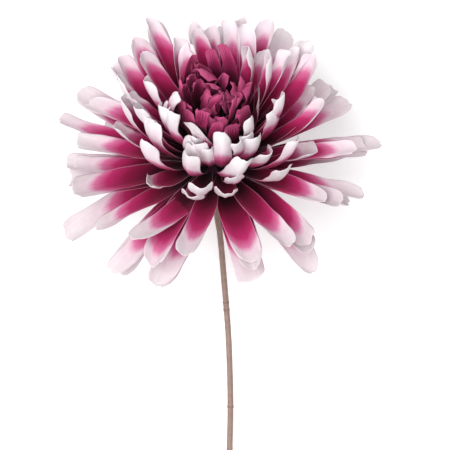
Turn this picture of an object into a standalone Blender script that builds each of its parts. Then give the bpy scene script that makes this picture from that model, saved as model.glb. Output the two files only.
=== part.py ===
"""A chrysanthemum bloom on a short cut stem, lying on a flat surface.

Whorls of petals climb a domed receptacle, from spreading guard petals at the back to a tight
dark heart. The bloom's axis leans up from the surface, its lowest guard petals press flat on
the surface, and the stem slopes down behind the bloom to its cut end.

Metres, +Z up. The origin is under the middle of the whole flower, on the surface.
"""

import math
import random
from collections import namedtuple

import bmesh
import bpy
from mathutils import Vector

MM = 0.001
FLOWER = "chrysanthemum"

# The bloom's axis leans back this far above the surface, with the calyx held off the surface
AXIS_LIFT_DEG = 48.0
CALYX_HEIGHT = 44.0 * MM

# One petal: half widths are fractions of its whorl's half width
PETAL_THICKNESS = 0.62 * MM
ROOT_WIDTH = 0.40
WIDEST_AT = 0.45
TIP_WIDTH = 0.40
TIP_ROUNDNESS = 2.3
TIP_FULLNESS = 0.52
CUP_AT_ROOT = 0.5
CUP_AT_TIP = 1.1
ROWS_TOWARDS_TIP = 1.6
CURVE_STEPS = 60

# How far one petal may differ from the rule of its whorl, where the whorl's wildness is 1
VARY_ANGLE = 0.22
VARY_LENGTH = 0.08
VARY_LIFT_DEG = 2.5
VARY_CURL_DEG = 12.0
VARY_WIDTH = 0.12
VARY_TWIST_DEG = 15.0
VARY_SWAY = 0.10
VARY_CUP = 0.35
VARY_TIP = 0.09
TIP_STARTS_AT = 0.84
DRAWS_PER_PETAL = 10

# The habit of the bloom at some of its whorls, which those between them share out. Lengths are
# in millimetres and angles in degrees. lift is a petal's slope at its root and curl the slope at
# its tip, both from the plane square to the axis, and the front of a whorl has its own; seat is
# where the root sits on the receptacle. wild is how unlike each other a whorl's petals are.
Habit = namedtuple(
    "Habit",
    "length lift curl front_length front_lift front_curl bend half_width cup"
    " seat_radius seat_height wild",
)
HABITS = {
    0: Habit(61, 0, -14, 61, -6, -20, 1.3, 5.9, 0.20, 7.6, 1.0, 1.4),
    2: Habit(60.5, 4, 8, 60, 4, 14, 1.2, 5.7, 0.22, 8.6, 4.4, 1.4),
    3: Habit(54, 15, 29, 57, 4, 7, 1.15, 5.5, 0.25, 9.6, 7.0, 1.4),
    4: Habit(57, 28, 41, 42, 10, 83, 1.65, 5.1, 0.30, 10.6, 9.5, 1.6),
    5: Habit(57, 36, 53, 42, 15, 86, 1.65, 4.8, 0.33, 11.3, 11.8, 1.6),
    6: Habit(54, 41, 58, 40, 27, 108, 1.65, 4.5, 0.36, 12.0, 14.2, 1.8),
    8: Habit(45.5, 52, 79, 36, 34, 117, 2.0, 4.0, 0.42, 10.6, 17.2, 2.2),
    10: Habit(42, 56, 92, 36, 45, 126, 1.8, 3.8, 0.45, 9.0, 19.6, 2.2),
    11: Habit(37, 56, 112, 30, 42, 100, 1.5, 3.6, 0.45, 7.4, 23.0, 2.2),
    13: Habit(31, 66, 125, 25, 50, 115, 1.4, 3.2, 0.42, 4.5, 24.5, 3.6),
    15: Habit(20, 80, 130, 20, 75, 130, 1.2, 2.8, 0.40, 1.6, 26.0, 4.5),
}
FRONT_TOWARDS_DEG = -8.0

# Whorls from the back of the bloom inwards
Whorl = namedtuple("Whorl", "petals seed rows")
RAY_WHORLS = (
    Whorl(13, 32459, 3),
    Whorl(13, 83056, 3),
    Whorl(13, 53570, 3),
    Whorl(12, 26615, 4),
    Whorl(11, 79150, 4),
    Whorl(11, 60969, 4),
    Whorl(10, 81759, 4),
    Whorl(10, 7157, 4),
    Whorl(10, 50690, 4),
    Whorl(9, 4977, 5),
    Whorl(8, 99796, 5),
)
HEART_WHORLS = (
    Whorl(12, 12, 4),
    Whorl(11, 13, 4),
    Whorl(9, 14, 3),
    Whorl(7, 15, 3),
    Whorl(4, 16, 3),
)
PETAL_COLUMNS = 2

# The heart fills a ball that is open above its middle, and the other petals press against it
HEART_BALL_RADIUS = 17.5 * MM
HEART_BALL_HEIGHT = 38.0 * MM
HEART_BALL_FOOT = 6.0 * MM
CLEAR_INSIDE = 0.6 * MM
CLEAR_OUTSIDE = 1.3 * MM

# Petals that meet the surface lie flat on it, each whorl on the one below
SURFACE_STEP = 1.6 * MM

# Turned cores: height and radius in millimetres, down the outside from the top
RAY_CORE = (
    (20.8, 0.0),
    (20.8, 8.6),
    (18.0, 12.0),
    (14.0, 14.4),
    (10.0, 14.6),
    (5.0, 13.2),
    (0.5, 11.5),
    (-1.0, 9.5),
    (-1.0, 0.0),
)
HEART_CORE = (
    (28.0, 0.0),
    (27.4, 3.0),
    (25.2, 5.2),
    (22.4, 6.4),
    (21.2, 6.2),
    (21.2, 0.0),
)
CALYX_CUP = (
    (-1.4, 0.0),
    (-1.4, 9.4),
    (-2.6, 9.6),
    (-5.0, 7.6),
    (-8.0, 4.0),
    (-9.5, 3.0),
    (-9.5, 0.0),
)
CORE_SIDES = 14

# Scales of the calyx in two rows, in millimetres, and how far each row turns back in degrees
ScaleRow = namedtuple("ScaleRow", "scales height radius length half_width turn_deg")
SCALE_ROWS = (
    ScaleRow(7, -7.4, 4.2, 9.0, 2.9, 0),
    ScaleRow(7, -5.6, 6.6, 8.0, 3.4, 18),
)
SCALE_THICKNESS = 0.9 * MM
SCALE_SLOPE_DEG = 52.0
SCALE_FLATTENS = 0.35
SCALE_TOP = -2.0
SCALE_HUG = 0.9
SCALE_ROWS_OF_FACES = 3
SCALE_COLUMNS = 2
# A scale's outline is a stretch of a sine wave between these two parts of its half turn
SCALE_OUTLINE = (0.22, 0.98)
SCALE_FULLNESS = 0.7
SCALE_TIP_WIDTH = 0.1

# The stem's route, as offsets from the calyx in millimetres, and its cut end on the surface
STEM_RADIUS = 1.4 * MM
STEM_GAP = 0.3 * MM
STEM_FOOT = -9.5
STEM_LEAD = -13.5
STEM_ROUTE = (
    (-0.2, -16.5, -14.6),
    (1.8, -27.8, -20.4),
    (4.0, -52.8, -26.6),
    (5.8, -77.0, -30.8),
    (6.6, -105.0, -35.0),
    (6.2, -128.0, -38.0),
)
STEM_END = (5.4, -172.0)
STEM_SPACING = 6.0 * MM
STEM_BEVEL = 2

RAY_COLOUR = (0.60, 0.22, 0.40)
HEART_COLOUR = (0.16, 0.010, 0.055)
CALYX_COLOUR = (0.13, 0.17, 0.06)
STEM_COLOUR = (0.26, 0.17, 0.14)
PETAL_ROUGHNESS = 0.6
CALYX_ROUGHNESS = 0.65


def smooth(low, high, value):
    """Ease from 0 at low to 1 at high."""
    t = min(max((value - low) / (high - low), 0.0), 1.0)
    return t * t * (3.0 - 2.0 * t)


def read_off(table, x):
    """The value at x of a table of pairs, straight between them."""
    for (x0, y0), (x1, y1) in zip(table, table[1:]):
        if x <= x1:
            return y0 + (y1 - y0) * max(x - x0, 0.0) / (x1 - x0)
    return table[-1][1]


def heart_wall(height):
    """Radius of the heart at this height."""
    below = min(height - HEART_BALL_HEIGHT, 0.0)
    return math.sqrt(max(HEART_BALL_RADIUS ** 2 - below ** 2, HEART_BALL_FOOT ** 2))


class BloomFrame:
    """Directions of the bloom: along its axis, towards its open front, and to its right."""

    lift = math.radians(AXIS_LIFT_DEG)
    calyx = Vector((0.0, 0.0, CALYX_HEIGHT))
    axis = Vector((0.0, math.cos(lift), math.sin(lift)))
    front = Vector((0.0, -math.sin(lift), math.cos(lift)))
    right = Vector((1.0, 0.0, 0.0))

    @classmethod
    def outward(cls, angle):
        """Away from the axis, 0 towards the front and a quarter turn towards the right."""
        return cls.front * math.cos(angle) + cls.right * math.sin(angle)

    @classmethod
    def sideways(cls, angle):
        """Round the axis, across a petal that points outward at this angle."""
        return cls.right * math.cos(angle) - cls.front * math.sin(angle)

    @classmethod
    def place(cls, angle, radius, height):
        """A place by its angle and distance from the axis and its height above the calyx."""
        return cls.calyx + cls.outward(angle) * radius + cls.axis * height


def habit_of(index):
    """The habit of a whorl, shared out between the named ones."""
    values = []
    for field in Habit._fields:
        table = [(at, getattr(habit, field)) for at, habit in sorted(HABITS.items())]
        values.append(read_off(table, index))
    return Habit(*values)


class Petal:
    """One petal: a tapered strip along a curve that rises from its seat."""

    def __init__(self, index, habit, angle, draws):
        front = 0.5 + 0.5 * math.cos(angle - math.radians(FRONT_TOWARDS_DEG))
        length = habit.length + front * (habit.front_length - habit.length)
        lift = habit.lift + front * (habit.front_lift - habit.lift)
        curl = habit.curl + front * (habit.front_curl - habit.curl)
        wild = habit.wild
        turn = VARY_LIFT_DEG * wild * draws[2]
        self.in_heart = index >= len(RAY_WHORLS)
        self.index = index
        self.angle = angle
        self.length = length * MM * (1 + VARY_LENGTH * wild * draws[1])
        self.lift = math.radians(lift + turn)
        self.curl = math.radians(curl + turn + VARY_CURL_DEG * wild * draws[3])
        self.bend = habit.bend
        self.half_width = habit.half_width * MM * (1 + VARY_WIDTH * draws[4])
        self.twist = math.radians(VARY_TWIST_DEG * wild * draws[5])
        self.sway = VARY_SWAY * wild * draws[6]
        self.cup = habit.cup * (1 + VARY_CUP * draws[7])
        self.tip_starts = TIP_STARTS_AT + VARY_TIP * draws[9]
        self.midrib = self.trace_midrib(habit.seat_radius * MM, habit.seat_height * MM)

    def slope(self, s):
        """How steeply the midrib climbs at share s of the length."""
        return self.lift + (self.curl - self.lift) * s ** self.bend

    def trace_midrib(self, radius, height):
        """Radius and height at even steps along the petal."""
        points = [(radius, height)]
        step = 1.0 / CURVE_STEPS
        for number in range(CURVE_STEPS):
            slope = self.slope((number + 0.5) * step)
            radius += math.cos(slope) * self.length * step
            height += math.sin(slope) * self.length * step
            points.append((radius, height))
        return points

    def width_at(self, s):
        """Half width at share s of the length."""
        swell = ROOT_WIDTH + (1 - ROOT_WIDTH) * smooth(0.0, WIDEST_AT, s)
        past = max(s - self.tip_starts, 0.0) / (1.0 - self.tip_starts)
        rounding = max(1.0 - past ** TIP_ROUNDNESS, 0.0) ** TIP_FULLNESS
        return self.half_width * max(swell * rounding, TIP_WIDTH)

    def point(self, s, v):
        """The point at share s of the length and v from -1 to 1 of the width."""
        place = s * CURVE_STEPS
        before = min(int(place), CURVE_STEPS - 1)
        share = place - before
        r0, h0 = self.midrib[before]
        r1, h1 = self.midrib[before + 1]
        slope = self.slope(s)
        outward = BloomFrame.outward(self.angle)
        across = BloomFrame.sideways(self.angle)
        face = BloomFrame.axis * math.cos(slope) - outward * math.sin(slope)
        turn = self.twist * s
        side = across * math.cos(turn) + face * math.sin(turn)
        normal = face * math.cos(turn) - across * math.sin(turn)
        width = self.width_at(s)
        cup = self.cup * (CUP_AT_ROOT + (CUP_AT_TIP - CUP_AT_ROOT) * s)
        point = BloomFrame.place(self.angle, r0 + (r1 - r0) * share, h0 + (h1 - h0) * share)
        point += across * self.sway * self.length * s * s
        point += side * width * v
        point += normal * cup * width * v * v
        point = self.keep_to_wall(point)
        floor = PETAL_THICKNESS / 2 + SURFACE_STEP * self.index
        point.z = max(point.z, floor)
        return point

    def keep_to_wall(self, point):
        """Hold heart petals inside the wall round the heart, and the others outside it."""
        offset = point - BloomFrame.calyx
        height = offset.dot(BloomFrame.axis)
        outward = offset - BloomFrame.axis * height
        radius = outward.length
        wall = heart_wall(height)
        if self.in_heart:
            held = min(radius, wall - CLEAR_INSIDE)
        else:
            held = max(radius, wall + CLEAR_OUTSIDE)
        return point + outward.normalized() * (held - radius)


def petals_of(whorls, first):
    """Every petal of these whorls, each whorl with its own seed."""
    petals = []
    for number, whorl in enumerate(whorls):
        index = first + number
        habit = habit_of(index)
        rng = random.Random(whorl.seed)
        start = math.radians(rng.uniform(0, 360))
        step = 2 * math.pi / whorl.petals
        for place in range(whorl.petals):
            draws = [rng.uniform(-1, 1) for _ in range(DRAWS_PER_PETAL)]
            angle = start + step * (place + VARY_ANGLE * draws[0])
            petals.append((Petal(index, habit, angle, draws), whorl.rows))
    return petals


def sheet_mesh(name, rows, columns, shape):
    """A triangulated grid whose points shape(s, v) gives."""
    mesh = bpy.data.meshes.new(name)
    sheet = bmesh.new()
    bmesh.ops.create_grid(sheet, x_segments=rows, y_segments=columns, size=1.0)
    for vertex in sheet.verts:
        s = (vertex.co.x + 1.0) / 2.0
        vertex.co = shape(1.0 - (1.0 - s) ** ROWS_TOWARDS_TIP, vertex.co.y)
    bmesh.ops.triangulate(sheet, faces=sheet.faces[:], quad_method="FIXED")
    sheet.to_mesh(mesh)
    sheet.free()
    return mesh


def add_object(name, data, collection):
    """Link a new object to a collection."""
    thing = bpy.data.objects.new(name, data)
    collection.objects.link(thing)
    return thing


def add_blade(name, mesh, thickness, collection):
    """A sheet thickened evenly to both sides."""
    blade = add_object(name, mesh, collection)
    solidify = blade.modifiers.new("Thickness", "SOLIDIFY")
    solidify.thickness = thickness
    solidify.offset = 0.0
    return blade


def add_turned(name, profile, collection):
    """A turned solid on the bloom's axis, from height and radius in millimetres."""
    mesh = bpy.data.meshes.new(name)
    outline = bmesh.new()
    corners = [outline.verts.new((radius * MM, 0.0, height * MM)) for height, radius in profile]
    for first, second in zip(corners, corners[1:]):
        outline.edges.new((first, second))
    outline.to_mesh(mesh)
    outline.free()
    turned = add_object(name, mesh, collection)
    turned.location = BloomFrame.calyx
    turned.rotation_euler = BloomFrame.axis.to_track_quat("Z", "Y").to_euler()
    screw = turned.modifiers.new("Turn", "SCREW")
    screw.axis = "Z"
    screw.steps = CORE_SIDES
    screw.render_steps = CORE_SIDES
    screw.use_merge_vertices = True
    screw.merge_threshold = 0.00001
    return turned


def bake_mesh(thing):
    """Replace an object by a plain mesh of its evaluated shape, where it stands."""
    bpy.context.view_layer.update()
    depsgraph = bpy.context.evaluated_depsgraph_get()
    mesh = bpy.data.meshes.new_from_object(thing.evaluated_get(depsgraph))
    mesh.transform(thing.matrix_world)
    thing.modifiers.clear()
    thing.data = mesh
    thing.location = (0.0, 0.0, 0.0)
    thing.rotation_euler = (0.0, 0.0, 0.0)
    return thing


def shell_volume(faces):
    """Signed volume of a closed shell, negative where its faces point inwards."""
    volume = 0.0
    for face in faces:
        first, *others = [vertex.co for vertex in face.verts]
        for second, third in zip(others, others[1:]):
            volume += first.dot(second.cross(third)) / 6.0
    return volume


def keep_main_body(mesh):
    """Fill hollows that fusing sealed and drop loose scraps, by keeping the largest shell."""
    body = bmesh.new()
    body.from_mesh(mesh)
    waiting = set(body.faces)
    shells = []
    while waiting:
        shell = set()
        front = [waiting.pop()]
        while front:
            face = front.pop()
            shell.add(face)
            for edge in face.edges:
                for other in edge.link_faces:
                    if other in waiting:
                        waiting.remove(other)
                        front.append(other)
        shells.append(shell)
    main_shell = max(shells, key=shell_volume)
    spare = [face for shell in shells if shell is not main_shell for face in shell]
    bmesh.ops.delete(body, geom=spare, context="FACES")
    body.to_mesh(mesh)
    body.free()


def fuse(core, repeats):
    """Join a collection of repeats to their core in one union, and remove them."""
    union = core.modifiers.new("Join", "BOOLEAN")
    union.operation = "UNION"
    union.operand_type = "COLLECTION"
    union.collection = repeats
    union.solver = "MANIFOLD"
    bake_mesh(core)
    keep_main_body(core.data)
    for thing in list(repeats.objects):
        bpy.data.objects.remove(thing)
    bpy.data.collections.remove(repeats)
    return core


def make_material(name, colour, roughness):
    """A plain matte material."""
    material = bpy.data.materials.new(name)
    material.use_nodes = True
    shader = material.node_tree.nodes["Principled BSDF"]
    shader.inputs["Base Color"].default_value = (*colour, 1.0)
    shader.inputs["Roughness"].default_value = roughness
    shader.inputs["Metallic"].default_value = 0.0
    return material


def new_collection(name):
    """Link a new collection to the scene."""
    collection = bpy.data.collections.new(name)
    bpy.context.scene.collection.children.link(collection)
    return collection


def make_florets(name, profile, petals, collection):
    """One node of petals on its core."""
    core = add_turned(name, profile, collection)
    bake_mesh(core)
    repeats = new_collection(name + "_petals")
    for number, (petal, rows) in enumerate(petals):
        mesh = sheet_mesh(name + "_petal", rows, PETAL_COLUMNS, petal.point)
        add_blade(f"{name}_petal_{number}", mesh, PETAL_THICKNESS, repeats)
    return fuse(core, repeats)


def scale_shape(row, angle):
    """The sheet of one calyx scale, which hugs the cup and turns out at its tip."""
    slope = math.radians(SCALE_SLOPE_DEG - row.turn_deg)
    start, end = SCALE_OUTLINE

    def shape(s, v):
        outline = math.sin(math.pi * (start + (end - start) * s)) ** SCALE_FULLNESS
        width = row.half_width * max(outline, SCALE_TIP_WIDTH)
        along = row.length * s
        radius = row.radius + math.cos(slope) * along
        height = row.height + math.sin(slope) * along * (1 - SCALE_FLATTENS * s)
        hug = width * v * SCALE_HUG / radius
        return BloomFrame.place(angle + hug, radius * MM, min(height, SCALE_TOP) * MM)

    return shape


def make_involucre(collection):
    """The green cup under the petals, with two rows of overlapping scales."""
    cup = add_turned("involucre", CALYX_CUP, collection)
    bake_mesh(cup)
    scales = new_collection("involucre_scales")
    for number, row in enumerate(SCALE_ROWS):
        for place in range(row.scales):
            angle = 2 * math.pi * (place + 0.5 * number) / row.scales
            mesh = sheet_mesh("scale", SCALE_ROWS_OF_FACES, SCALE_COLUMNS, scale_shape(row, angle))
            add_blade(f"scale_{number}_{place}", mesh, SCALE_THICKNESS, scales)
    return fuse(cup, scales)


def stem_route():
    """Points along the middle of the stem, on a smooth curve through its corners."""
    foot = BloomFrame.place(0.0, 0.0, STEM_FOOT * MM - STEM_GAP)
    lead = BloomFrame.place(0.0, 0.0, STEM_LEAD * MM)
    corners = [foot, lead]
    for x, y, z in STEM_ROUTE:
        corners.append(BloomFrame.calyx + Vector((x, y, z)) * MM)
    corners.append(Vector((STEM_END[0] * MM, STEM_END[1] * MM, STEM_RADIUS)))
    padded = [corners[0] * 2 - corners[1]] + corners + [corners[-1] * 2 - corners[-2]]
    points = []
    for p0, p1, p2, p3 in zip(padded, padded[1:], padded[2:], padded[3:]):
        pieces = max(round((p2 - p1).length / STEM_SPACING), 1)
        for piece in range(pieces):
            t = piece / pieces
            bend = p1 * 2 + (p2 - p0) * t + (p0 * 2 - p1 * 5 + p2 * 4 - p3) * t * t
            bend += (p1 * 3 - p0 - p2 * 3 + p3) * t * t * t
            points.append(bend / 2)
    points.append(corners[-1])
    return points


def make_stem(collection):
    """The stem: a round bar that follows its route."""
    curve = bpy.data.curves.new("stem", "CURVE")
    curve.dimensions = "3D"
    curve.bevel_depth = STEM_RADIUS
    curve.bevel_resolution = STEM_BEVEL
    curve.use_fill_caps = True
    route = stem_route()
    spline = curve.splines.new("POLY")
    spline.points.add(len(route) - 1)
    for point, place in zip(spline.points, route):
        point.co = (*place, 1.0)
    return add_object("stem", curve, collection)


def settle(collection):
    """Move the whole flower so that its box stands on the origin."""
    bpy.context.view_layer.update()
    corners = []
    depsgraph = bpy.context.evaluated_depsgraph_get()
    for thing in collection.objects:
        mesh = thing.evaluated_get(depsgraph).to_mesh()
        corners += [thing.matrix_world @ vertex.co for vertex in mesh.vertices]
    low = Vector([min(corner[axis] for corner in corners) for axis in range(3)])
    high = Vector([max(corner[axis] for corner in corners) for axis in range(3)])
    middle = (low + high) / 2
    for thing in collection.objects:
        thing.location -= Vector((middle.x, middle.y, low.z))


def main():
    """Build the flower's four pieces and colour them."""
    for thing in list(bpy.data.objects):
        bpy.data.objects.remove(thing)
    flower = new_collection(FLOWER)
    ray_petals = petals_of(RAY_WHORLS, 0)
    heart_petals = petals_of(HEART_WHORLS, len(RAY_WHORLS))
    rays = make_florets("ray_florets", RAY_CORE, ray_petals, flower)
    heart = make_florets("heart_florets", HEART_CORE, heart_petals, flower)
    involucre = make_involucre(flower)
    stem = make_stem(flower)
    settle(flower)
    rays.data.materials.append(make_material("Petals white and magenta", RAY_COLOUR, PETAL_ROUGHNESS))
    heart.data.materials.append(make_material("Heart petals dark wine", HEART_COLOUR, PETAL_ROUGHNESS))
    involucre.data.materials.append(make_material("Calyx green", CALYX_COLOUR, CALYX_ROUGHNESS))
    stem.data.materials.append(make_material("Stem taupe", STEM_COLOUR, PETAL_ROUGHNESS))


main()
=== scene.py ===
"""Looks of a chrysanthemum bloom on a cut stem, lying on a pale floor.

Every petal is drawn by one node tree from a table of points: one point for each petal, which
carries the petal's length, slopes, widths and tints. Whorl by whorl, the table follows the same
rule and the same seeds as the solid flower, so each finer petal lies where its solid one does.
"""

import logging
import math
import random
from collections.abc import Sequence
from dataclasses import dataclass, field, fields
from enum import Enum

import bmesh
import bpy
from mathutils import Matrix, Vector


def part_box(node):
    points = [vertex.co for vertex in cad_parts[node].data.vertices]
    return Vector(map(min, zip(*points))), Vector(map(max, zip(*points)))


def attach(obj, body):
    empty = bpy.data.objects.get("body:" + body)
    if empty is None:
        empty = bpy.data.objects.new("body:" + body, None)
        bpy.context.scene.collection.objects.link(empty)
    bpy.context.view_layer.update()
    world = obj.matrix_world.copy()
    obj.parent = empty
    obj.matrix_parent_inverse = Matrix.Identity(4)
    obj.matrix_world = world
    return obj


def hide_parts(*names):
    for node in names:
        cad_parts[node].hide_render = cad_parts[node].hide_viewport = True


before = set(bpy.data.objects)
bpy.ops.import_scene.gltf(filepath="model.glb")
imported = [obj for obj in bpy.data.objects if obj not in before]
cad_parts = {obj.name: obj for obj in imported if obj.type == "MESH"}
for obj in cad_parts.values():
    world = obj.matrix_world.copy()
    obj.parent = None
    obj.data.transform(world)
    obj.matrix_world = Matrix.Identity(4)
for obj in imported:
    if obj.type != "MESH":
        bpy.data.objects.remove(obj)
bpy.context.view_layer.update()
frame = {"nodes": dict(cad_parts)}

MM = 0.001
LOG = logging.getLogger("chrysanthemum")
Colour = tuple[float, float, float]
Stop = tuple[float, Colour]


# Colours and number helpers


def srgb(red: float, green: float, blue: float) -> Colour:
    """Turn a screen colour into light.

    Args:
        red: Red from 0 to 255.
        green: Green from 0 to 255.
        blue: Blue from 0 to 255.

    Returns:
        The same colour as shares of linear light.
    """
    linear = []
    for value in (red, green, blue):
        share = value / 255.0
        low = share / 12.92
        high = ((share + 0.055) / 1.055) ** 2.4
        linear.append(low if share <= 0.04045 else high)
    return tuple(linear)


def read_off(table: Sequence[tuple[float, float]], x: float) -> float:
    """Read a table of pairs at x, straight between its entries.

    Args:
        table: Pairs of x and value in rising order of x.
        x: Where to read.

    Returns:
        The value at x, or the nearest end value outside the table.
    """
    for (x0, y0), (x1, y1) in zip(table, table[1:]):
        if x <= x1:
            return y0 + (y1 - y0) * max(x - x0, 0.0) / (x1 - x0)
    return table[-1][1]


# Node trees written as formulas


class Graph:
    """A node tree, of geometry or of a material, that is built by writing formulas."""

    def __init__(self, tree: bpy.types.NodeTree) -> None:
        """Keep the tree that the formulas add to."""
        self.tree = tree

    def node(self, kind: str, inputs: dict | None = None, **settings: object) -> bpy.types.Node:
        """Add a node.

        Args:
            kind: The node's type.
            inputs: Values, terms or sockets for its inputs, by name or number.
            settings: The node's own properties.

        Returns:
            The new node.
        """
        node = self.tree.nodes.new(kind)
        for name, value in settings.items():
            setattr(node, name, value)
        for key, value in (inputs or {}).items():
            self.feed(self.input_of(node, key), value)
        return node

    @staticmethod
    def input_of(node: bpy.types.Node, key: str | int) -> bpy.types.NodeSocket:
        """Find an input that is in use, by its name or number."""
        if isinstance(key, int):
            return node.inputs[key]
        return next(socket for socket in node.inputs if socket.enabled and socket.name == key)

    def feed(self, socket: bpy.types.NodeSocket, value: object) -> None:
        """Link a term or a socket to an input, or set the input's own value.

        Args:
            socket: The input.
            value: A term, an output socket, or a plain value.
        """
        if isinstance(value, Term):
            value = value.socket
        if isinstance(value, bpy.types.NodeSocket):
            self.tree.links.new(value, socket)
        else:
            socket.default_value = value

    def number(self, socket: bpy.types.NodeSocket) -> "Num":
        """Wrap a socket that gives a number."""
        return Num(self, socket)

    def arrow(self, socket: bpy.types.NodeSocket) -> "Arrow":
        """Wrap a socket that gives a vector."""
        return Arrow(self, socket)

    def math(self, operation: str, *values: object) -> "Num":
        """Add a Math node.

        Args:
            operation: What it works out.
            values: Its inputs in order.

        Returns:
            Its result.
        """
        inputs = dict(enumerate(values))
        return self.number(self.node("ShaderNodeMath", inputs, operation=operation).outputs[0])

    def vector_math(self, operation: str, *values: object, scale: object = None) -> "Arrow":
        """Add a Vector Math node that gives a vector.

        Args:
            operation: What it works out.
            values: Its vector inputs in order.
            scale: Its scale, where it has one.

        Returns:
            Its result.
        """
        node = self.node("ShaderNodeVectorMath", dict(enumerate(values)), operation=operation)
        if scale is not None:
            self.feed(node.inputs["Scale"], scale)
        return self.arrow(node.outputs["Vector"])

    def vector_number(self, operation: str, *values: object) -> "Num":
        """Add a Vector Math node that gives a number.

        Args:
            operation: What it works out, such as a length or a dot product.
            values: Its vector inputs in order.

        Returns:
            Its result.
        """
        node = self.node("ShaderNodeVectorMath", dict(enumerate(values)), operation=operation)
        return self.number(node.outputs["Value"])

    def ease(self, low: object, high: object, value: object) -> "Num":
        """Ease from 0 at low to 1 at high.

        Args:
            low: Where the ramp starts.
            high: Where it ends.
            value: What is compared with them.

        Returns:
            The eased share.
        """
        node = self.node(
            "ShaderNodeMapRange",
            {"Value": value, "From Min": low, "From Max": high, "To Min": 0.0, "To Max": 1.0},
            interpolation_type="SMOOTHSTEP",
            clamp=True,
        )
        return self.number(node.outputs[0])

    def join(self, x: object, y: object, z: object) -> "Arrow":
        """Make a vector of three numbers."""
        node = self.node("ShaderNodeCombineXYZ", {0: x, 1: y, 2: z})
        return self.arrow(node.outputs[0])


class Term:
    """The result of a node, for use in formulas."""

    def __init__(self, graph: Graph, socket: bpy.types.NodeSocket) -> None:
        """Keep the graph and the output socket."""
        self.graph = graph
        self.socket = socket


class Num(Term):
    """A number in a graph. Sums on it add Math nodes."""

    def __add__(self, other: object) -> "Num":
        """Add."""
        return self.graph.math("ADD", self, other)

    def __radd__(self, other: object) -> "Num":
        """Add."""
        return self.graph.math("ADD", other, self)

    def __sub__(self, other: object) -> "Num":
        """Take away."""
        return self.graph.math("SUBTRACT", self, other)

    def __rsub__(self, other: object) -> "Num":
        """Take this from the other."""
        return self.graph.math("SUBTRACT", other, self)

    def __mul__(self, other: object) -> "Num":
        """Multiply."""
        return self.graph.math("MULTIPLY", self, other)

    def __rmul__(self, other: object) -> "Num":
        """Multiply."""
        return self.graph.math("MULTIPLY", other, self)

    def __truediv__(self, other: object) -> "Num":
        """Divide."""
        return self.graph.math("DIVIDE", self, other)

    def __rtruediv__(self, other: object) -> "Num":
        """Divide the other by this."""
        return self.graph.math("DIVIDE", other, self)

    def __pow__(self, other: object) -> "Num":
        """Raise to a power."""
        return self.graph.math("POWER", self, other)

    def cos(self) -> "Num":
        """Cosine."""
        return self.graph.math("COSINE", self)

    def sin(self) -> "Num":
        """Sine."""
        return self.graph.math("SINE", self)

    def size(self) -> "Num":
        """The number without its sign."""
        return self.graph.math("ABSOLUTE", self)

    def root(self) -> "Num":
        """Square root."""
        return self.graph.math("SQRT", self)

    def at_least(self, other: object) -> "Num":
        """This or the other, whichever is more."""
        return self.graph.math("MAXIMUM", self, other)

    def at_most(self, other: object) -> "Num":
        """This or the other, whichever is less."""
        return self.graph.math("MINIMUM", self, other)


class Arrow(Term):
    """A vector in a graph. Sums on it add Vector Math nodes."""

    def __add__(self, other: object) -> "Arrow":
        """Add."""
        return self.graph.vector_math("ADD", self, other)

    def __sub__(self, other: object) -> "Arrow":
        """Take away."""
        return self.graph.vector_math("SUBTRACT", self, other)

    def __mul__(self, number: object) -> "Arrow":
        """Scale by a number."""
        return self.graph.vector_math("SCALE", self, scale=number)

    def dot(self, other: object) -> Num:
        """Dot product."""
        return self.graph.vector_number("DOT_PRODUCT", self, other)

    def length(self) -> Num:
        """Length."""
        return self.graph.vector_number("LENGTH", self)

    def unit(self) -> "Arrow":
        """The same direction with length 1."""
        return self.graph.vector_math("NORMALIZE", self)


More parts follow.
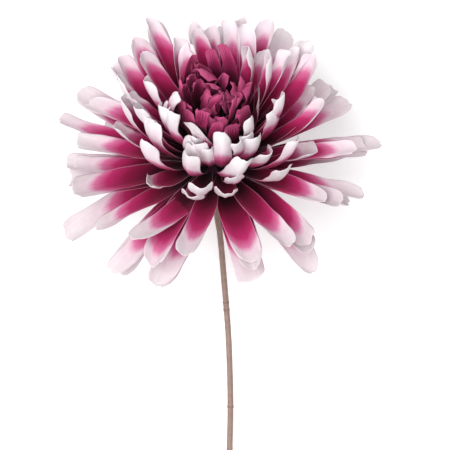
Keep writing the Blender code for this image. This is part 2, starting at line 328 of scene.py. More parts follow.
class GeometryGraph(Graph):
    """A geometry tree with named inputs."""

    def __init__(self, name: str, inputs: dict[str, tuple[str, object]]) -> None:
        """Make the tree.

        Args:
            name: The tree's name.
            inputs: For each input, its socket type and its value.
        """
        super().__init__(bpy.data.node_groups.new(name, "GeometryNodeTree"))
        face = self.tree.interface
        face.new_socket("Geometry", in_out="INPUT", socket_type="NodeSocketGeometry")
        for label, (kind, value) in inputs.items():
            socket = face.new_socket(label, in_out="INPUT", socket_type="NodeSocket" + kind)
            if value is not None:
                socket.default_value = value
        face.new_socket("Geometry", in_out="OUTPUT", socket_type="NodeSocketGeometry")
        self.entry = self.node("NodeGroupInput")
        self.exit = self.node("NodeGroupOutput")

    def given(self, label: str) -> Num:
        """The tree's own input of this name."""
        return self.number(self.entry.outputs[label])

    def given_arrow(self, label: str) -> Arrow:
        """The tree's own vector input of this name."""
        return self.arrow(self.entry.outputs[label])

    def read(self, name: str) -> Num:
        """A number stored on the geometry under this name."""
        node = self.node("GeometryNodeInputNamedAttribute", {"Name": name}, data_type="FLOAT")
        return self.number(node.outputs["Attribute"])

    def read_arrow(self, name: str) -> Arrow:
        """A vector stored on the geometry under this name."""
        kind = "FLOAT_VECTOR"
        node = self.node("GeometryNodeInputNamedAttribute", {"Name": name}, data_type=kind)
        return self.arrow(node.outputs["Attribute"])

    def store(self, geometry: bpy.types.NodeSocket, name: str, value: Term) -> bpy.types.NodeSocket:
        """Store a value on every vertex.

        Args:
            geometry: The geometry that takes it.
            name: The name it is stored under.
            value: The number or vector.

        Returns:
            The geometry with the value on it.
        """
        kind = "FLOAT_VECTOR" if isinstance(value, Arrow) else "FLOAT"
        node = self.node(
            "GeometryNodeStoreNamedAttribute",
            {"Geometry": geometry, "Name": name, "Value": value},
            data_type=kind,
            domain="POINT",
        )
        return node.outputs["Geometry"]

    def running_total(self, value: Num, group: Num) -> Num:
        """Add a value up along each group, in the order of the vertices.

        Args:
            value: What is added up.
            group: Which group a vertex is in.

        Returns:
            The total so far, with the vertex's own value in it.
        """
        node = self.node(
            "GeometryNodeAccumulateField",
            {"Value": value, "Group ID": group},
            data_type="FLOAT",
            domain="POINT",
        )
        return self.number(node.outputs["Leading"])

    def close(self, geometry: bpy.types.NodeSocket, finish: bpy.types.Material) -> None:
        """End the tree: real meshes with a material.

        Args:
            geometry: What the tree gives.
            finish: The material that it takes.
        """
        real = self.node("GeometryNodeRealizeInstances", {"Geometry": geometry})
        dressed = self.node(
            "GeometryNodeSetMaterial",
            {"Geometry": real.outputs["Geometry"], "Material": finish},
        )
        self.feed(self.exit.inputs[0], dressed.outputs["Geometry"])


def run_tree(
    graph: GeometryGraph, seed_mesh: bpy.types.Object, name: str, values: dict[str, object]
) -> bpy.types.Object:
    """Run a geometry tree on an object and keep the result as a plain mesh.

    Args:
        graph: The tree.
        seed_mesh: The object it starts from, which is removed.
        name: The finished piece's name.
        values: Values for the tree's named inputs.

    Returns:
        The finished piece at the origin.
    """
    modifier = seed_mesh.modifiers.new(name, "NODES")
    modifier.node_group = graph.tree
    for item in graph.tree.interface.items_tree:
        if item.item_type == "SOCKET" and item.in_out == "INPUT" and item.name in values:
            modifier[item.identifier] = values[item.name]
    bpy.context.view_layer.update()
    evaluated = seed_mesh.evaluated_get(bpy.context.evaluated_depsgraph_get())
    mesh = bpy.data.meshes.new_from_object(evaluated)
    mesh.name = name
    seed_mesh.modifiers.clear()
    bpy.data.objects.remove(seed_mesh)
    piece = bpy.data.objects.new(name, mesh)
    bpy.context.scene.collection.objects.link(piece)
    return piece


def hand_in(piece: bpy.types.Object, nodes: Sequence[str] = ()) -> None:
    """Put a finished piece on the frame.

    Args:
        piece: The piece.
        nodes: The solid nodes that it stands for.
    """
    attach(piece, "root")
    if nodes:
        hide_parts(*nodes)
    triangles = sum(len(face.vertices) - 2 for face in piece.data.polygons)
    LOG.info("%s: %d triangles", piece.name, triangles)


# Finishes


@dataclass(frozen=True)
class Finish:
    """What every finish shares: a matte surface with a fine bump."""

    name: str
    roughness: float = 0.7
    shine: float = 0.3
    bump: float = 0.3
    bump_depth: float = 0.2 * MM

    def graph(self) -> tuple[bpy.types.Material, Graph, bpy.types.Node]:
        """Start a material.

        Returns:
            The material, its graph and its Principled shader.
        """
        material = bpy.data.materials.new(self.name)
        material.use_nodes = True
        graph = Graph(material.node_tree)
        shader = material.node_tree.nodes["Principled BSDF"]
        shader.inputs["Roughness"].default_value = self.roughness
        shader.inputs["Specular IOR Level"].default_value = self.shine
        return material, graph, shader

    @staticmethod
    def read(graph: Graph, name: str) -> Num:
        """A number that the piece's mesh stores under this name."""
        node = graph.node("ShaderNodeAttribute", attribute_name=name)
        return graph.number(node.outputs["Fac"])

    @staticmethod
    def read_arrow(graph: Graph, name: str) -> Arrow:
        """A vector that the piece's mesh stores under this name."""
        node = graph.node("ShaderNodeAttribute", attribute_name=name)
        return graph.arrow(node.outputs["Vector"])

    @staticmethod
    def noise(graph: Graph, place: Arrow, scale: float, detail: float = 2.0) -> Num:
        """Soft noise.

        Args:
            graph: The material's graph.
            place: Where it is read, in metres.
            scale: Its grain in waves a metre.
            detail: How many finer layers it has.

        Returns:
            The noise from 0 to 1.
        """
        inputs = {"Vector": place, "Scale": scale, "Detail": detail}
        return graph.number(graph.node("ShaderNodeTexNoise", inputs).outputs["Fac"])

    @staticmethod
    def ramp(graph: Graph, share: Num, stops: Sequence[Stop]) -> bpy.types.NodeSocket:
        """Read a colour off a ramp.

        Args:
            graph: The material's graph.
            share: Where to read, on the same scale as the stops.
            stops: Places in rising order and their colours.

        Returns:
            The colour.
        """
        low = stops[0][0]
        span = stops[-1][0] - low
        node = graph.node("ShaderNodeValToRGB", {0: (share - low) / span})
        elements = node.color_ramp.elements
        elements[0].position = 0.0
        elements[0].color = (*stops[0][1], 1.0)
        elements[-1].position = 1.0
        elements[-1].color = (*stops[-1][1], 1.0)
        for place, colour in stops[1:-1]:
            element = elements.new((place - low) / span)
            element.color = (*colour, 1.0)
        return node.outputs["Color"]

    @staticmethod
    def blend(graph: Graph, share: Num, first: object, second: object, mode: str = "MIX") -> object:
        """Mix two colours.

        Args:
            graph: The material's graph.
            share: How much of the second there is.
            first: The colour below.
            second: The colour above.
            mode: How they are mixed.

        Returns:
            The mixed colour.
        """
        node = graph.node("ShaderNodeMix", data_type="RGBA", blend_type=mode)
        graph.feed(node.inputs["Factor"], share)
        for socket, value in zip(node.inputs[6:8], (first, second)):
            graph.feed(socket, (*value, 1.0) if isinstance(value, tuple) else value)
        return node.outputs[2]

    def finish_bump(self, graph: Graph, shader: bpy.types.Node, height: Num) -> None:
        """Give the surface its fine relief.

        Args:
            graph: The material's graph.
            shader: The material's shader.
            height: The relief from 0 to 1.
        """
        node = graph.node(
            "ShaderNodeBump",
            {"Strength": self.bump, "Distance": self.bump_depth, "Height": height},
        )
        graph.feed(shader.inputs["Normal"], node.outputs["Normal"])


@dataclass(frozen=True)
class PetalFinish(Finish):
    """Petal cloth: deep magenta at the root that turns white over a soft border near the tip, with painted
    shade in its near-black lowest stops.
    """

    name: str = "Petal, magenta to white"
    roughness: float = 0.62
    edge_lag: float = 0.13
    back_lead: float = 0.10
    streak: float = 0.03
    # Grey pink that the whites take as painted shade.
    shaded_white: Colour = srgb(205, 186, 192)
    # Paler edge: partly the cloth's pale cut edge, partly painted light shining through the thin edge.
    rim: Colour = srgb(236, 184, 208)
    rim_share: float = 0.60
    # The two lowest, near-black stops are painted shade where the petal roots lie deep in the bloom; the
    # magenta to white above them is the cloth's own colour.
    stops: tuple[Stop, ...] = (
        (-0.75, srgb(18, 2, 9)),
        (-0.52, srgb(58, 6, 26)),
        (-0.28, srgb(136, 20, 64)),
        (-0.12, srgb(184, 44, 102)),
        (-0.02, srgb(214, 118, 162)),
        (0.05, srgb(240, 218, 228)),
        (0.22, srgb(243, 237, 240)),
    )

    def build(self) -> bpy.types.Material:
        """Make the material.

        Returns:
            The petal cloth.
        """
        material, graph, shader = self.graph()
        along = self.read(graph, "along")
        across = self.read(graph, "across").size()
        side = self.read(graph, "side")
        cloth = self.read_arrow(graph, "cloth")
        tone = self.read(graph, "tone")
        stretched = graph.vector_math("MULTIPLY", cloth, (1.0, 0.07, 1.0))
        streaks = self.noise(graph, stretched, 900.0) - 0.5
        behind = graph.ease(0.05, -0.25, side)
        start = along + across ** 2.2 * self.edge_lag + behind * self.back_lead
        share = start + streaks * self.streak * 2.0 - self.read(graph, "white")
        colour = self.ramp(graph, share, self.stops)
        # Painted shade: the whites are greyed by the stored share, most on the outer whorls.
        shaded_white = graph.ease(-0.04, 0.10, share) * self.read(graph, "white_shade")
        colour = self.blend(graph, shaded_white, colour, self.shaded_white)
        # Paler edges: partly the cloth's cut edge, partly painted light shining through the thin edge.
        rim = graph.ease(0.92, 0.99, across) * self.rim_share
        colour = self.blend(graph, rim, colour, self.rim)
        mottle = self.noise(graph, cloth, 380.0, 3.0) * 0.10 + streaks * 0.16 + tone * 0.10
        colour = self.blend(graph, graph.math("ADD", mottle, 0.0), colour, (0.0, 0.0, 0.0))
        graph.feed(shader.inputs["Base Color"], colour)
        weave = self.weave(graph, cloth)
        self.finish_bump(graph, shader, streaks * 1.4 + weave * 0.35)
        shader.inputs["Sheen Weight"].default_value = 0.04
        shader.inputs["Specular IOR Level"].default_value = 0.12
        return material

    @staticmethod
    def weave(graph: Graph, cloth: Arrow, thread: float = 0.28 * MM) -> Num:
        """The relief of a fine plain weave.

        Args:
            graph: The material's graph.
            cloth: Place on the cloth, in metres.
            thread: Distance from one thread to the next.

        Returns:
            The relief from -1 to 1.
        """
        parts = graph.node("ShaderNodeSeparateXYZ", {0: cloth})
        turn = 2.0 * math.pi / thread
        warp = (graph.number(parts.outputs["X"]) * turn).sin()
        weft = (graph.number(parts.outputs["Y"]) * turn).sin()
        return warp * weft


@dataclass(frozen=True)
class HeartFinish(PetalFinish):
    """Cloth of the heart petals: dark wine, a little brighter towards the tip, with painted shade in its
    near-black lower stops.
    """

    name: str = "Heart petal, dark wine"
    # Paler edge: partly the cloth's cut edge, partly painted light shining through the thin edge.
    rim: Colour = srgb(196, 92, 138)
    rim_share: float = 0.35
    # The near-black lower stops are painted shade of the heart's deep gaps; the wine and the brighter tips
    # are the cloth's own colour.
    stops: tuple[Stop, ...] = (
        (-0.90, srgb(12, 1, 6)),
        (-0.55, srgb(40, 4, 18)),
        (-0.22, srgb(98, 16, 50)),
        (-0.04, srgb(152, 40, 88)),
        (0.10, srgb(206, 88, 138)),
    )


@dataclass(frozen=True)
class CalyxFinish(Finish):
    """Calyx: soft green with darker ribs and paler scale edges."""

    name: str = "Calyx, soft green"
    stops: tuple[Stop, ...] = (
        (0.0, srgb(70, 88, 44)),
        (0.55, srgb(98, 118, 62)),
        (0.85, srgb(132, 146, 92)),
        (1.0, srgb(176, 180, 136)),
    )

    def build(self) -> bpy.types.Material:
        """Make the material.

        Returns:
            The calyx green.
        """
        material, graph, shader = self.graph()
        along = self.read(graph, "along")
        across = self.read(graph, "across").size()
        cloth = self.read_arrow(graph, "cloth")
        ribs = self.noise(graph, graph.vector_math("MULTIPLY", cloth, (1.0, 0.1, 1.0)), 1400.0)
        share = along * 0.45 + graph.ease(0.7, 1.0, across) * 0.4 + ribs * 0.35 - 0.05
        graph.feed(shader.inputs["Base Color"], self.ramp(graph, share, self.stops))
        self.finish_bump(graph, shader, ribs)
        return material


@dataclass(frozen=True)
class StemFinish(Finish):
    """Stem: taupe wrap with fine length lines, paler worn places and darker joints."""

    name: str = "Stem, taupe"
    roughness: float = 0.55
    stops: tuple[Stop, ...] = (
        (0.0, srgb(96, 74, 66)),
        (0.35, srgb(132, 108, 98)),
        (0.65, srgb(150, 127, 116)),
        (1.0, srgb(186, 166, 156)),
    )

    def build(self) -> bpy.types.Material:
        """Make the material.

        Returns:
            The stem's taupe.
        """
        material, graph, shader = self.graph()
        along = self.read(graph, "along")
        joint = self.read(graph, "joint")
        place = graph.arrow(graph.node("ShaderNodeTexCoord").outputs["Object"])
        lines = self.noise(graph, graph.vector_math("MULTIPLY", place, (1.0, 0.06, 1.0)), 2600.0)
        wear = self.noise(graph, graph.join(along, 0.0, 0.0), 60.0, 3.0)
        share = lines * 0.70 + wear * 0.55 - joint * 0.25 - 0.08
        graph.feed(shader.inputs["Base Color"], self.ramp(graph, share, self.stops))
        self.finish_bump(graph, shader, lines)
        return material


@dataclass(frozen=True)
class ReceptacleFinish(Finish):
    """Receptacle: near-black wine with a pebbled surface, seen only deep between petals."""

    name: str = "Receptacle, deep wine"
    dark: Colour = srgb(34, 6, 22)
    light: Colour = srgb(70, 12, 44)

    def build(self) -> bpy.types.Material:
        """Make the material.

        Returns:
            The receptacle's wine.
        """
        material, graph, shader = self.graph()
        place = graph.arrow(graph.node("ShaderNodeTexCoord").outputs["Object"])
        pebbles = self.noise(graph, place, 900.0, 3.0)
        colour = self.blend(graph, pebbles, self.dark, self.light)
        graph.feed(shader.inputs["Base Color"], colour)
        self.finish_bump(graph, shader, pebbles)
        return material


@dataclass(frozen=True)
class FloorFinish(Finish):
    """Floor: plain white paper with a grain too fine to see from above."""

    name: str = "Floor, white paper"
    roughness: float = 0.9
    white: Colour = (0.82, 0.82, 0.82)
    shade: Colour = (0.80, 0.80, 0.80)
    glow: float = 0.28

    def build(self) -> bpy.types.Material:
        """Make the material.

        Returns:
            The floor's white.
        """
        material, graph, shader = self.graph()
        place = graph.arrow(graph.node("ShaderNodeTexCoord").outputs["Object"])
        grain = self.noise(graph, place, 400.0)
        graph.feed(shader.inputs["Base Color"], self.blend(graph, grain, self.white, self.shade))
        shader.inputs["Emission Color"].default_value = (1.0, 1.0, 1.0, 1.0)
        shader.inputs["Emission Strength"].default_value = self.glow
        return material


# The bloom's frame and its petals


class Layer(Enum):
    """The bloom's layers of petals, from the back inwards."""

    GUARD = "guard_petals"
    RISING = "rising_petals"
    SCOOP = "scoop_petals"
    HEART = "heart_petals"


@dataclass(frozen=True)
class BloomFrame:
    """Directions of the bloom, and its calyx as an offset from the stem's lowest corner."""

    lift_deg: float = 48.0
    calyx_from_stem: tuple[float, float, float] = (1.60 * MM, 172.14 * MM, 43.99 * MM)

    @property
    def calyx(self) -> Vector:
        """Where the bloom's axis leaves the calyx."""
        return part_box("stem")[0] + Vector(self.calyx_from_stem)

    @property
    def axis(self) -> Vector:
        """Along the bloom's axis, towards its heart."""
        lift = math.radians(self.lift_deg)
        return Vector((0.0, math.cos(lift), math.sin(lift)))

    @property
    def front(self) -> Vector:
        """Across the axis, towards the bloom's open front."""
        lift = math.radians(self.lift_deg)
        return Vector((0.0, -math.sin(lift), math.cos(lift)))

    @property
    def right(self) -> Vector:
        """Across the axis, towards the right."""
        return Vector((1.0, 0.0, 0.0))

    def outward(self, angle: float) -> Vector:
        """Away from the axis at this angle, 0 towards the front."""
        return self.front * math.cos(angle) + self.right * math.sin(angle)

    def sideways(self, angle: float) -> Vector:
        """Round the axis, across a petal at this angle."""
        return self.right * math.cos(angle) - self.front * math.sin(angle)

    def place(self, angle: float, radius: float, height: float) -> Vector:
        """A place by its angle, distance from the axis and height above the calyx."""
        return self.calyx + self.outward(angle) * radius + self.axis * height


@dataclass(frozen=True)
class Habit:
    """How the petals of one whorl grow, at its back and at its front.

    Lengths are in millimetres and slopes in degrees.
    """

    length: float
    lift: float
    curl: float
    front_length: float
    front_lift: float
    front_curl: float
    bend: float
    half_width: float
    cup: float
    seat_radius: float
    seat_height: float
    white: float
    # Share of the whites greyed as painted shade.
    white_shade: float
    wild: float


@dataclass(frozen=True)
class Whorl:
    """One whorl: how many petals it has and the seed of their differences."""

    petals: int
    seed: int


@dataclass(frozen=True)
class Variation:
    """How far one petal may differ from the habit of its whorl, for a wildness of 1."""

    angle: float = 0.22
    length: float = 0.08
    lift_deg: float = 2.5
    curl_deg: float = 12.0
    width: float = 0.12
    twist_deg: float = 15.0
    sway: float = 0.10
    cup: float = 0.35
    white: float = 0.06
    tip: float = 0.09
    draws: int = 10


@dataclass(frozen=True)
class Petal:
    """One petal's numbers, which its point carries into the node tree."""

    angle: float
    length: float
    lift: float
    curl: float
    bend: float
    half_width: float
    twist: float
    sway: float
    cup: float
    white: float
    white_shade: float
    tip_starts: float
    seat_radius: float
    seat_height: float
    floor: float
    tone: float


@dataclass(frozen=True)
class PetalRule:
    """The rule that gives every petal of the bloom, whorl by whorl."""

    habits: dict[int, Habit] = field(
        default_factory=lambda: {
            0: Habit(61, 0, -14, 61, -6, -20, 1.3, 5.9, 0.25, 7.6, 1.0, 0.70, 0.50, 1.4),
            2: Habit(60.5, 4, 8, 60, 4, 14, 1.2, 5.7, 0.28, 8.6, 4.4, 0.80, 0.45, 1.4),
            3: Habit(54, 15, 29, 57, 4, 7, 1.15, 5.5, 0.34, 9.6, 7.0, 0.80, 0.40, 1.4),
            4: Habit(57, 28, 41, 42, 10, 83, 1.65, 5.1, 0.50, 10.6, 9.5, 0.75, 0.30, 1.6),
            5: Habit(57, 36, 53, 42, 15, 86, 1.65, 4.8, 0.55, 11.3, 11.8, 0.83, 0.20, 1.6),
            6: Habit(54, 41, 58, 40, 27, 108, 1.65, 4.5, 0.60, 12.0, 14.2, 0.80, 0.10, 1.8),
            8: Habit(45.5, 52, 79, 36, 34, 117, 2.0, 4.0, 0.75, 10.6, 17.2, 0.80, 0.00, 2.2),
            10: Habit(42, 56, 92, 36, 45, 126, 1.8, 3.8, 0.75, 9.0, 19.6, 0.82, 0.00, 2.2),
            11: Habit(37, 56, 112, 30, 42, 100, 1.5, 3.6, 0.50, 7.4, 23.0, 0.90, 0.00, 2.2),
            13: Habit(31, 66, 125, 25, 50, 115, 1.4, 3.2, 0.55, 4.5, 24.5, 0.90, 0.00, 3.6),
            15: Habit(20, 80, 130, 20, 75, 130, 1.2, 2.8, 0.55, 1.6, 26.0, 0.90, 0.00, 4.5),
        }
    )
    whorls: tuple[Whorl, ...] = (
        Whorl(13, 32459),
        Whorl(13, 83056),
        Whorl(13, 53570),
        Whorl(12, 26615),
        Whorl(11, 79150),
        Whorl(11, 60969),
        Whorl(10, 81759),
        Whorl(10, 7157),
        Whorl(10, 50690),
        Whorl(9, 4977),
        Whorl(8, 99796),
        Whorl(12, 12),
        Whorl(11, 13),
        Whorl(9, 14),
        Whorl(7, 15),
        Whorl(4, 16),
    )
    front_towards_deg: float = -8.0
    tip_starts: float = 0.84
    surface_step: float = 1.6 * MM
    variation: Variation = Variation()

    def habit_of(self, index: int) -> Habit:
        """The habit of a whorl, shared out between the named ones.

        Args:
            index: The whorl, counted from the back.

        Returns:
            Its habit.
        """
        values = []
        for item in fields(Habit):
            table = [(at, getattr(habit, item.name)) for at, habit in self.habits.items()]
            values.append(read_off(table, index))
        return Habit(*values)

    def petals_of(self, index: int) -> list[Petal]:
        """Every petal of a whorl.

        Args:
            index: The whorl, counted from the back.

        Returns:
            Its petals in order round the axis.
        """
        whorl = self.whorls[index]
        habit = self.habit_of(index)
        rng = random.Random(whorl.seed)
        start = math.radians(rng.uniform(0, 360))
        step = 2 * math.pi / whorl.petals
        petals = []
        for place in range(whorl.petals):
            draws = [rng.uniform(-1, 1) for _ in range(self.variation.draws)]
            angle = start + step * (place + self.variation.angle * draws[0])
            petals.append(self.petal(index, habit, angle, draws))
        return petals

    def petal(self, index: int, habit: Habit, angle: float, draws: list[float]) -> Petal:
        """One petal of a whorl.

        Args:
            index: The whorl, counted from the back.
            habit: The whorl's habit.
            angle: The petal's angle round the axis.
            draws: Random numbers from -1 to 1.

        Returns:
            The petal.
        """
        vary = self.variation
        wild = habit.wild
        front = 0.5 + 0.5 * math.cos(angle - math.radians(self.front_towards_deg))
        length = habit.length + front * (habit.front_length - habit.length)
        lift = habit.lift + front * (habit.front_lift - habit.lift)
        curl = habit.curl + front * (habit.front_curl - habit.curl)
        turn = vary.lift_deg * wild * draws[2]
        return Petal(
            angle=angle,
            length=length * MM * (1 + vary.length * wild * draws[1]),
            lift=math.radians(lift + turn),
            curl=math.radians(curl + turn + vary.curl_deg * wild * draws[3]),
            bend=habit.bend,
            half_width=habit.half_width * MM * (1 + vary.width * draws[4]),
            twist=math.radians(vary.twist_deg * wild * draws[5]),
            sway=vary.sway * wild * draws[6],
            cup=habit.cup * (1 + vary.cup * draws[7]),
            white=habit.white + vary.white * draws[8],
            white_shade=habit.white_shade,
            tip_starts=self.tip_starts + vary.tip * draws[9],
            seat_radius=habit.seat_radius * MM,
            seat_height=habit.seat_height * MM,
            floor=self.surface_step * index,
            tone=0.5 + 0.5 * draws[7],
        )


@dataclass(frozen=True)
class PetalShape:
    """Driving sizes of the node tree that draws petals."""

    rows: int = 34
    columns: int = 20
    thickness: float = 0.40 * MM
    rows_towards_tip: float = 1.6
    root_width: float = 0.40
    widest_at: float = 0.45
    tip_width: float = 0.28
    tip_roundness: float = 2.3
    tip_fullness: float = 0.52
    tip_arc: float = 0.16
    tip_tear: float = 0.024
    cup_at_root: float = 0.5
    cup_at_tip: float = 1.1
    crease: float = 0.10
    ridge_depth: float = 0.20 * MM
    ridges: float = 3.4
    wave_depth: float = 1.8 * MM
    waves: float = 3.4
    wall_side: float = 0.0
    seed: int = 5


@dataclass(frozen=True)
class HeartWall:
    """The wall round the heart: a ball that is open above its middle."""

    radius: float = 17.5 * MM
    height: float = 38.0 * MM
    foot: float = 6.0 * MM
    clear_inside: float = 0.6 * MM
    clear_outside: float = 1.3 * MM


@dataclass(frozen=True)
class PetalTree:
    """The node tree that draws every petal of a layer from its table of points."""

    bloom: BloomFrame
    wall: HeartWall
    shape: PetalShape
    finish: bpy.types.Material

    def inputs(self) -> dict[str, tuple[str, object]]:
        """The tree's named inputs, each with its socket type and value."""
        shape = self.shape
        return {
            "Rows": ("Int", shape.rows),
            "Columns": ("Int", shape.columns),
            "Thickness": ("Float", shape.thickness),
            "Rows towards tip": ("Float", shape.rows_towards_tip),
            "Root width": ("Float", shape.root_width),
            "Widest at": ("Float", shape.widest_at),
            "Tip width": ("Float", shape.tip_width),
            "Tip roundness": ("Float", shape.tip_roundness),
            "Tip fullness": ("Float", shape.tip_fullness),
            "Tip arc": ("Float", shape.tip_arc),
            "Tip tear": ("Float", shape.tip_tear),
            "Cup at root": ("Float", shape.cup_at_root),
            "Cup at tip": ("Float", shape.cup_at_tip),
            "Crease": ("Float", shape.crease),
            "Ridge depth": ("Float", shape.ridge_depth),
            "Ridges": ("Float", shape.ridges),
            "Wave depth": ("Float", shape.wave_depth),
            "Waves": ("Float", shape.waves),
            "Wall side": ("Float", shape.wall_side),
            "Seed": ("Int", shape.seed),
            "Calyx": ("Vector", None),
            "Axis": ("Vector", None),
        }

    def build(self, name: str) -> GeometryGraph:
        """Build the tree.

        Args:
            name: The tree's name.

        Returns:
            The tree, ready to run.
        """
        graph = GeometryGraph(name, self.inputs())
        sheets = self.lay_out(graph)
        along, lengthwise, turn = self.run_along(graph)
        across = turn.cos()
        side = turn.sin()
        position = self.position(graph, along, lengthwise, across, side)
        width = self.width(graph, along) * across
        cloth = graph.join(width, along * graph.read("length"), graph.read("angle"))
        geometry = graph.store(sheets, "drawn_at", position)
        geometry = graph.store(geometry, "drawn_along", along)
        geometry = graph.store(geometry, "across", across)
        geometry = graph.store(geometry, "side", side)
        geometry = graph.store(geometry, "cloth", cloth)
        moved = graph.node(
            "GeometryNodeSetPosition",
            {"Geometry": geometry, "Position": graph.read_arrow("drawn_at")},
        )
        geometry = graph.store(moved.outputs[0], "along", graph.read("drawn_along"))
        merged = graph.node("GeometryNodeMergeByDistance", {"Geometry": geometry, "Distance": 1e-7})
        smooth = graph.node("GeometryNodeSetShadeSmooth", {"Geometry": merged.outputs[0]})
        graph.close(smooth.outputs[0], self.finish)
        return graph

    def lay_out(self, graph: GeometryGraph) -> bpy.types.NodeSocket:
        """Put a flat grid on every petal's point.

        Args:
            graph: The tree.

        Returns:
            The grids as one mesh, each with its place along and round the petal stored.
        """
        grid = graph.node(
            "GeometryNodeMeshGrid",
            {
                "Size X": 1.0,
                "Size Y": 1.0,
                "Vertices X": graph.given("Rows"),
                "Vertices Y": graph.given("Columns"),
            },
        )
        place = graph.node("GeometryNodeInputPosition").outputs[0]
        parts = graph.node("ShaderNodeSeparateXYZ", {0: place})
        along = graph.number(parts.outputs["X"]) + 0.5
        around = graph.number(parts.outputs["Y"]) + 0.5
        column = graph.number(graph.node("GeometryNodeInputIndex").outputs[0])
        column = graph.math("MODULO", column, graph.given("Columns"))
        sheet = graph.store(grid.outputs["Mesh"], "lengthwise", along)
        sheet = graph.store(sheet, "around", around)
        sheet = graph.store(sheet, "column", column)
        spread = graph.node(
            "GeometryNodeInstanceOnPoints",
            {"Points": graph.entry.outputs["Geometry"], "Instance": sheet},
        )
        real = graph.node("GeometryNodeRealizeInstances", {"Geometry": spread.outputs[0]})
        return real.outputs[0]

    def run_along(self, graph: GeometryGraph) -> tuple[Num, Num, Num]:
        """How far along its petal each vertex is.

        Args:
            graph: The tree.

        Returns:
            The share of the length with the tip's arc in it, the row's own share, and the
            turn round the petal's flat section.
        """
        lengthwise = graph.read("lengthwise")
        turn = graph.read("around") * (2.0 * math.pi)
        return self.share_at(graph, lengthwise, turn.cos()), lengthwise, turn

    def share_at(self, graph: GeometryGraph, lengthwise: Num, across: Num) -> Num:
        """The share of the length at a row, shorter at the edges so that the tip is an arc.

        Args:
            graph: The tree.
            lengthwise: The row as a share of the rows.
            across: Place across the petal from -1 to 1.

        Returns:
            The share of the length.
        """
        even = 1.0 - (1.0 - lengthwise).at_least(0.0) ** graph.given("Rows towards tip")
        arc = graph.given("Tip arc") * (1.0 - graph.read("tip_starts"))
        torn = self.soft_noise(graph, graph.join(across * 2.4, graph.read("phase") * 9.0, 4.0))
        arc = arc * across.size() ** 2.2 + (torn + 1.0) * graph.given("Tip tear")
        return even * (1.0 - arc)

    @staticmethod
    def soft_noise(graph: GeometryGraph, place: Arrow) -> Num:
        """Soft noise of about -1 to 1.

        Args:
            graph: The tree.
            place: Where it is read. It changes over about one unit.

        Returns:
            The noise.
        """
        node = graph.node("ShaderNodeTexNoise", {"Vector": place, "Scale": 1.0, "Detail": 1.0})
        return (graph.number(node.outputs["Fac"]) - 0.5) * 3.0

    def slope(self, graph: GeometryGraph, along: Num) -> Num:
        """How steeply the midrib climbs at a share of the length."""
        lift = graph.read("lift")
        return lift + (graph.read("curl") - lift) * along.at_least(0.0) ** graph.read("bend")

    def width(self, graph: GeometryGraph, along: Num) -> Num:
        """Half width at a share of the length.

        Args:
            graph: The tree.
            along: The share of the length.

        Returns:
            Half the petal's width there, in metres.
        """
        root = graph.given("Root width")
        swell = root + (1.0 - root) * graph.ease(0.0, graph.given("Widest at"), along)
        starts = graph.read("tip_starts")
        past = ((along - starts) / (1.0 - starts)).at_least(0.0)
        left = (1.0 - past ** graph.given("Tip roundness")).at_least(0.0)
        tapered = swell * left ** graph.given("Tip fullness")
        return graph.read("half_width") * tapered.at_least(graph.given("Tip width"))

    def midrib(self, graph: GeometryGraph, along: Num, across: Num) -> tuple[Num, Num]:
        """Radius and height of the midrib, added up step by step along each column.

        Args:
            graph: The tree.
            along: The share of the length.
            across: Place across the petal.

        Returns:
            The midrib's distance from the axis and its height above the calyx.
        """
        rows = graph.given("Rows")
        previous = (graph.read("lengthwise") - 1.0 / (rows - 1.0)).at_least(0.0)
        before = self.share_at(graph, previous, across)
        step = (along - before) * graph.read("length")
        slope = self.slope(graph, (along + before) * 0.5)
        group = graph.read("petal") * graph.given("Columns") + graph.read("column") + 0.5
        group = graph.math("FLOOR", group)
        run = graph.running_total(step * slope.cos(), group)
        rise = graph.running_total(step * slope.sin(), group)
        return graph.read("seat_radius") + run, graph.read("seat_height") + rise

    def position(
        self, graph: GeometryGraph, along: Num, lengthwise: Num, across: Num, side: Num
    ) -> Arrow:
        """Where each vertex of a petal goes.

        Args:
            graph: The tree.
            along: The share of the length.
            lengthwise: The row as a share of the rows.
            across: Place across the petal from -1 to 1.
            side: 1 in the middle of the inner face and -1 in the middle of the outer one.

        Returns:
            The vertex's place.
        """
        axis = graph.given_arrow("Axis")
        outward = graph.read_arrow("outward")
        sideways = graph.read_arrow("sideways")
        slope = self.slope(graph, along)
        face = axis * slope.cos() - outward * slope.sin()
        turn = graph.read("twist") * along
        edgewise = sideways * turn.cos() + face * turn.sin()
        normal = face * turn.cos() - sideways * turn.sin()
        width = self.width(graph, along)
        root_cup = graph.given("Cup at root")
        cup = graph.read("cup") * (root_cup + (graph.given("Cup at tip") - root_cup) * along)
        radius, height = self.midrib(graph, along, across)
        place = graph.given_arrow("Calyx") + outward * radius + axis * height
        place = place + sideways * (graph.read("sway") * graph.read("length") * along * along)
        place = place + edgewise * (width * across)
        ends = ((1.0 - lengthwise) * 14.0).at_most(1.0).root() * (lengthwise * 40.0).at_most(1.0)
        wall = side * ends * graph.given("Thickness") * 0.5
        relief = self.relief(graph, along, across)
        relief = relief + (across * across + 0.02).root() * width * graph.given("Crease")
        place = place + normal * (cup * width * across * across + relief + wall)
        place = self.keep_to_wall(graph, place)
        return self.keep_off_floor(graph, place, side)

    def relief(self, graph: GeometryGraph, along: Num, across: Num) -> Num:
        """Long ridges down the petal, and a slow wave in its edges.

        Args:
            graph: The tree.
            along: The share of the length.
            across: Place across the petal.

        Returns:
            How far the surface stands off its smooth form, in metres.
        """
        phase = graph.read("phase")
        ridges = (across * graph.given("Ridges") * math.pi + phase).cos()
        fade = graph.ease(0.08, 0.35, along) * (1.0 - graph.ease(0.93, 1.0, along))
        place = graph.join(along * graph.given("Waves"), across * 0.9, phase * 7.0)
        waves = self.soft_noise(graph, place)
        edge = (across * across + 0.15) * graph.ease(0.25, 0.95, along)
        return ridges * fade * graph.given("Ridge depth") + waves * edge * graph.given("Wave depth")

